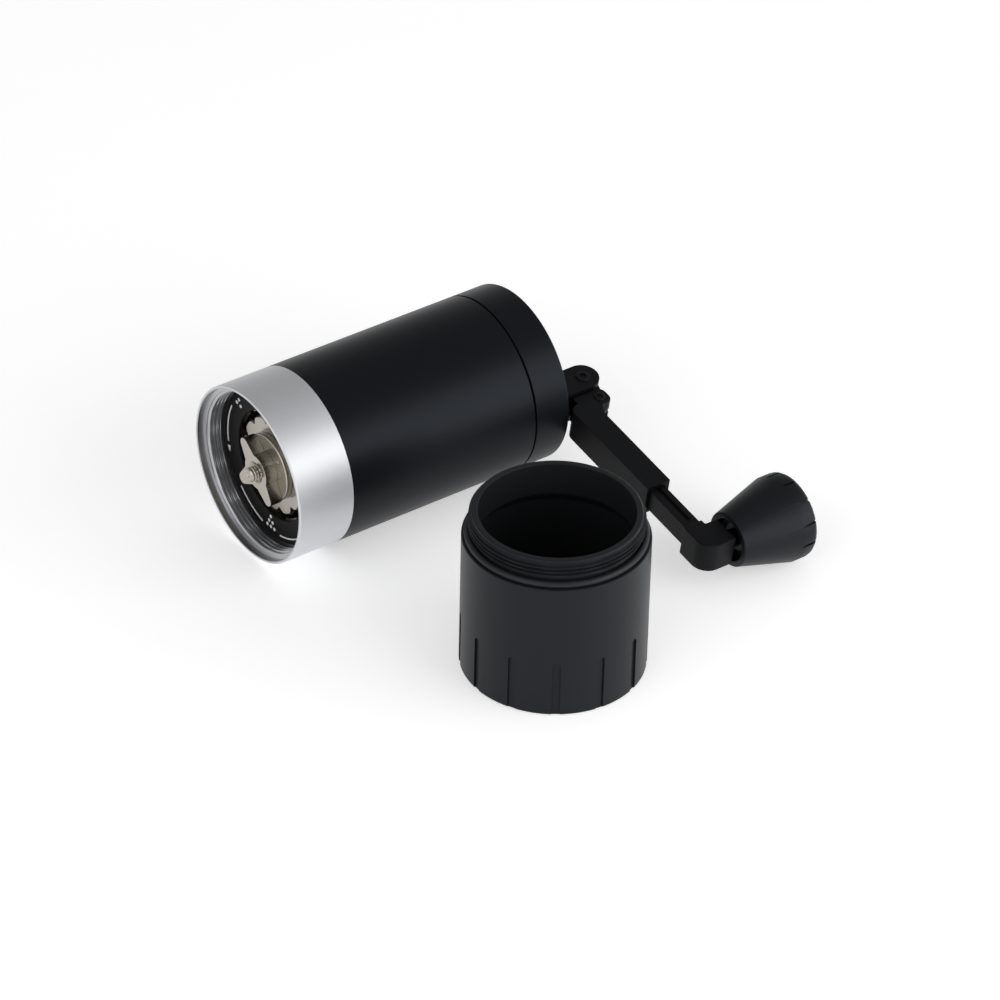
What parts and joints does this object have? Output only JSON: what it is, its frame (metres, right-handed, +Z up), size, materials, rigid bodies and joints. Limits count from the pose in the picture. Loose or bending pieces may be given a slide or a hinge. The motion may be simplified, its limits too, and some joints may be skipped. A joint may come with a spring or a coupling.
{
  "type": "hand crank coffee grinder",
  "caption": "Cylindrical hand coffee grinder lying on its side with a folding telescopic crank and cone knob, its steel burr set and adjusting nut in the open end, and its cup beside it.",
  "frame": {"origin": "centre of the cup's base, on the surface that the object rests on", "axes": "+Z up; +X along the lying body's axis, from its open burr end to its lid; +Y from the cup across to the body"},
  "size_m": [0.1448, 0.1595, 0.06],
  "materials": {
    "black_anodised": "satin black anodised",
    "bare_aluminium": "satin turned and clear anodised",
    "dial_black": "matt black anodised",
    "print_white": "printed ink",
    "burr_steel": "machined stainless steel",
    "bearing_steel": "ground steel",
    "carrier_black": "moulded glass-filled nylon",
    "spring_steel": "drawn wire",
    "clip_steel": "blackened spring steel",
    "bush_bronze": "turned bronze",
    "crank_black": "satin black coating",
    "screw_black": "blackened steel",
    "knob_black": "fine moulded texture",
    "bush_nylon": "moulded acetal",
    "seal_black": "moulded silicone",
    "cup_black": "satin black anodised"
  },
  "bodies": {
    "grinder_body": {"body_tube": "black_anodised", "collar_ring": "bare_aluminium", "dial_plate": "dial_black", "dial_marks": "print_white", "burr_carrier": "carrier_black", "outer_burr": "burr_steel", "upper_bridge": "carrier_black", "upper_bearing_outer": "bearing_steel", "upper_bearing_balls": "bearing_steel", "lower_bearing_outer": "bearing_steel", "lower_bearing_balls": "bearing_steel"},
    "drive_shaft": {"drive_shaft": "burr_steel", "upper_bearing_inner": "bearing_steel", "lower_bearing_inner": "bearing_steel", "shaft_clip": "clip_steel", "burr_spring": "spring_steel"},
    "inner_burr": {"inner_burr": "burr_steel", "click_disc": "burr_steel"},
    "adjusting_nut": {"adjusting_nut": "burr_steel"},
    "lid": {"lid_shell": "black_anodised", "lid_bush": "bush_bronze", "lid_seal": "seal_black"},
    "crank_hub": {"crank_hub": "crank_black", "hub_clip": "clip_steel", "fold_pin": "screw_black"},
    "crank_arm": {"crank_sleeve": "crank_black", "detent_leaf": "clip_steel", "clamp_screw": "screw_black"},
    "slider": {"slider_bar": "crank_black", "elbow_block": "crank_black", "knob_spindle": "clip_steel", "knob_screw": "burr_steel"},
    "knob": {"knob_shell": "knob_black", "knob_bush": "bush_nylon", "knob_cap": "knob_black"},
    "cup": {"cup_shell": "cup_black", "cup_seal": "seal_black"}
  },
  "joints": [
    {"name": "lid_lift", "type": "slide", "parent": "grinder_body", "child": "lid", "axis": [1, 0, 0], "range_m": [0, 0.045]},
    {"name": "crank_spin", "type": "hinge", "parent": "lid", "child": "crank_hub", "pos_m": [0, 0.1, 0.03], "axis": [1, 0, 0], "continuous": true},
    {"name": "shaft_spin", "type": "hinge", "parent": "grinder_body", "child": "drive_shaft", "pos_m": [0, 0.1, 0.03], "axis": [1, 0, 0], "continuous": true},
    {"name": "burr_gap", "type": "slide", "parent": "drive_shaft", "child": "inner_burr", "axis": [-1, 0, 0], "range_m": [0, 0.00083333]},
    {"name": "adjust_turn", "type": "hinge", "parent": "inner_burr", "child": "adjusting_nut", "pos_m": [0, 0.1, 0.03], "axis": [-1, 0, 0], "range_deg": [0, 300]},
    {"name": "arm_fold", "type": "hinge", "parent": "crank_hub", "child": "crank_arm", "pos_m": [0.0705, 0.08233, 0.02717], "axis": [0, -0.1582, 0.9874], "range_deg": [0, 180]},
    {"name": "arm_extend", "type": "slide", "parent": "crank_arm", "child": "slider", "axis": [0, -0.9874, -0.1582], "range_m": [-0.017, 0]},
    {"name": "knob_spin", "type": "hinge", "parent": "slider", "child": "knob", "pos_m": [0.077, 0.00323, 0.0145], "axis": [1, 0, 0], "continuous": true},
    {"name": "cup_lift", "type": "slide", "parent": "grinder_body", "child": "cup", "axis": [0, 0, 1], "range_m": [0, 0.08]}
  ],
  "couplings": [
    {"joint": "shaft_spin", "follows": "crank_spin", "ratio": 1},
    {"joint": "adjust_turn", "follows": "burr_gap", "rad_per_m": 6283.2}
  ]
}
